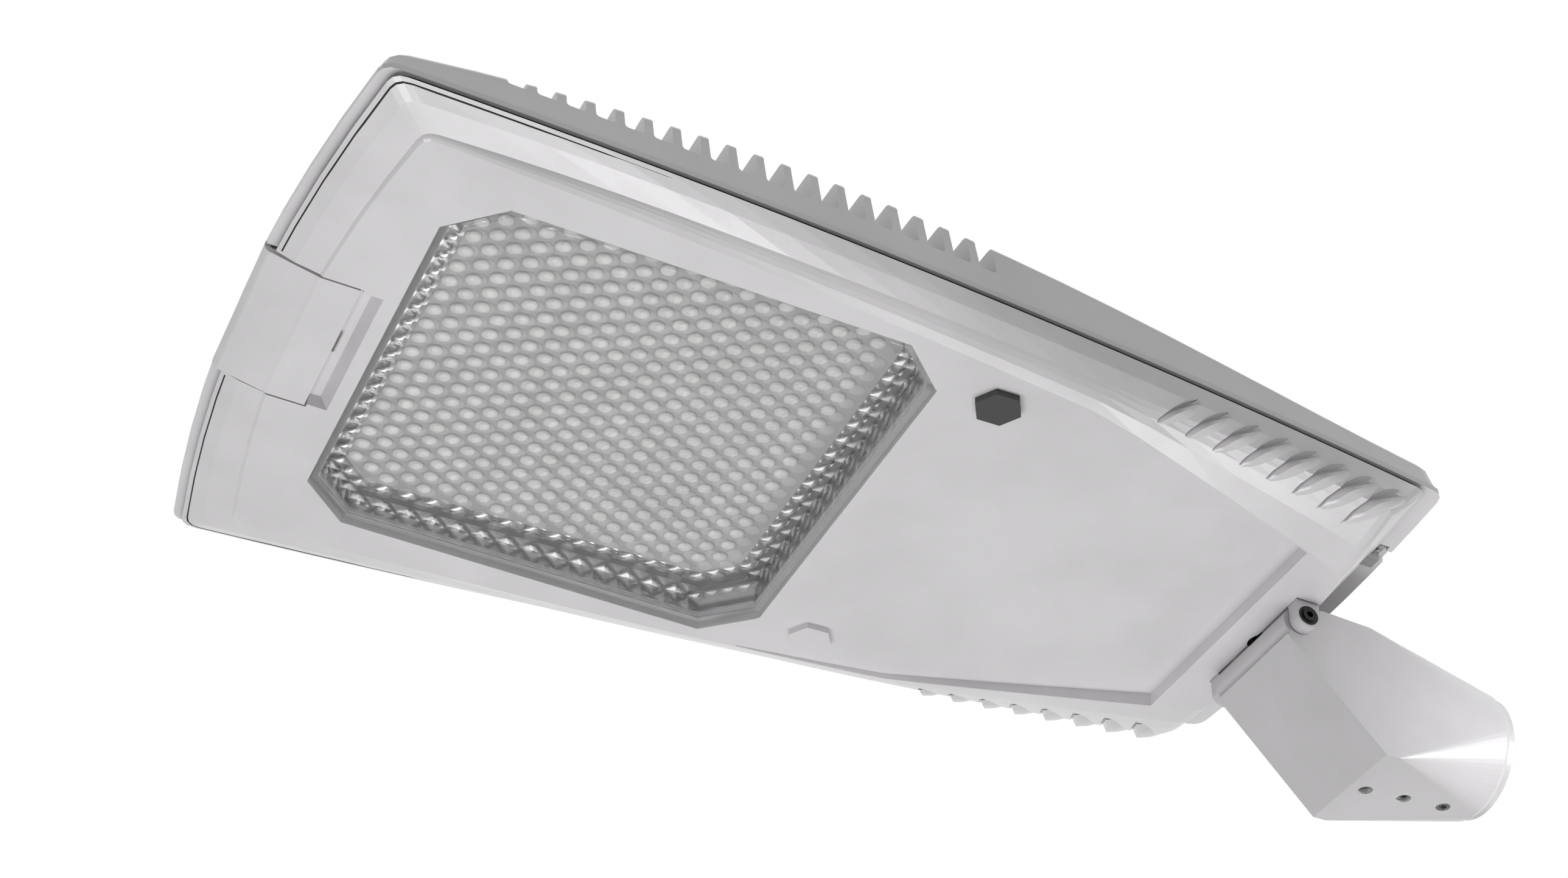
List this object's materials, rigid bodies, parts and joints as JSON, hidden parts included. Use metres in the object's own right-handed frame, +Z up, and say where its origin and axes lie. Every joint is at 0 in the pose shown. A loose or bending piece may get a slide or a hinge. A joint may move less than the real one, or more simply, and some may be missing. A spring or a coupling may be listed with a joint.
{
  "type": "street lantern",
  "caption": "Flat LED street lantern with a finned hinged canopy, glazed light opening, latch and tilting pole-top adapter.",
  "frame": {"origin": "centre of the mouth of the pole socket in the adapter", "axes": "+X along the pole socket out of its mouth, from the nose of the lantern to its tail; +Y across the lantern; +Z up, towards the finned canopy"},
  "size_m": [0.7103, 0.3798, 0.156],
  "materials": {
    "canopy_casting": "powder-coated die-cast aluminium",
    "frame_casting": "powder-coated die-cast aluminium",
    "adapter_casting": "powder-coated die-cast aluminium",
    "bare_aluminium": "satin",
    "zinc_steel": "zinc plated",
    "stainless": "brushed",
    "reflector_sheet": "bright anodised sheet",
    "board": "white solder resist",
    "lens_plastic": "moulded clear lens plate",
    "flat_glass": "toughened flat glass",
    "seal_rubber": "silicone",
    "grey_plastic": "moulded nylon",
    "white_case": "painted steel case",
    "grey_case": "moulded case",
    "ivory_plastic": "moulded nylon"
  },
  "bodies": {
    "adapter": {"pole_adapter": "adapter_casting", "set_screws": "stainless"},
    "housing": {"lower_frame": "frame_casting", "canopy_seal": "seal_rubber", "glass": "flat_glass", "glass_seal": "seal_rubber", "light_box": "reflector_sheet", "gear_tray": "zinc_steel", "tray_screws": "zinc_steel", "driver": "white_case", "surge_protector": "grey_case", "terminal_block": "ivory_plastic", "cord_clamp": "grey_plastic", "cable_grommet": "seal_rubber", "vent_plug": "grey_plastic", "blank_plug": "frame_casting", "frame_hinges": "stainless", "tilt_bracket": "adapter_casting", "bracket_screws": "stainless", "tilt_bolt": "stainless", "tilt_nut": "stainless"},
    "lid": {"canopy": "canopy_casting", "led_carrier": "bare_aluminium", "led_boards": "board", "lens_plate": "lens_plastic", "canopy_hinges": "stainless", "hinge_pins": "stainless", "latch_bracket": "stainless", "latch_pin": "stainless"},
    "latch_lever": {"latch": "frame_casting", "latch_spring": "stainless"}
  },
  "joints": [
    {"name": "tilt", "type": "hinge", "parent": "adapter", "child": "housing", "pos_m": [-0.1325, 0, 0.0285], "axis": [0, 1, 0], "range_deg": [-15, 5]},
    {"name": "lid_hinge", "type": "hinge", "parent": "housing", "child": "lid", "pos_m": [-0.102, 0, 0.069], "axis": [0, 1, 0], "range_deg": [0, 60]},
    {"name": "latch_hinge", "type": "hinge", "parent": "lid", "child": "latch_lever", "pos_m": [-0.70584, 0, 0.0655], "axis": [0, 1, 0], "range_deg": [0, 75], "deforming": ["latch_spring"]}
  ]
}
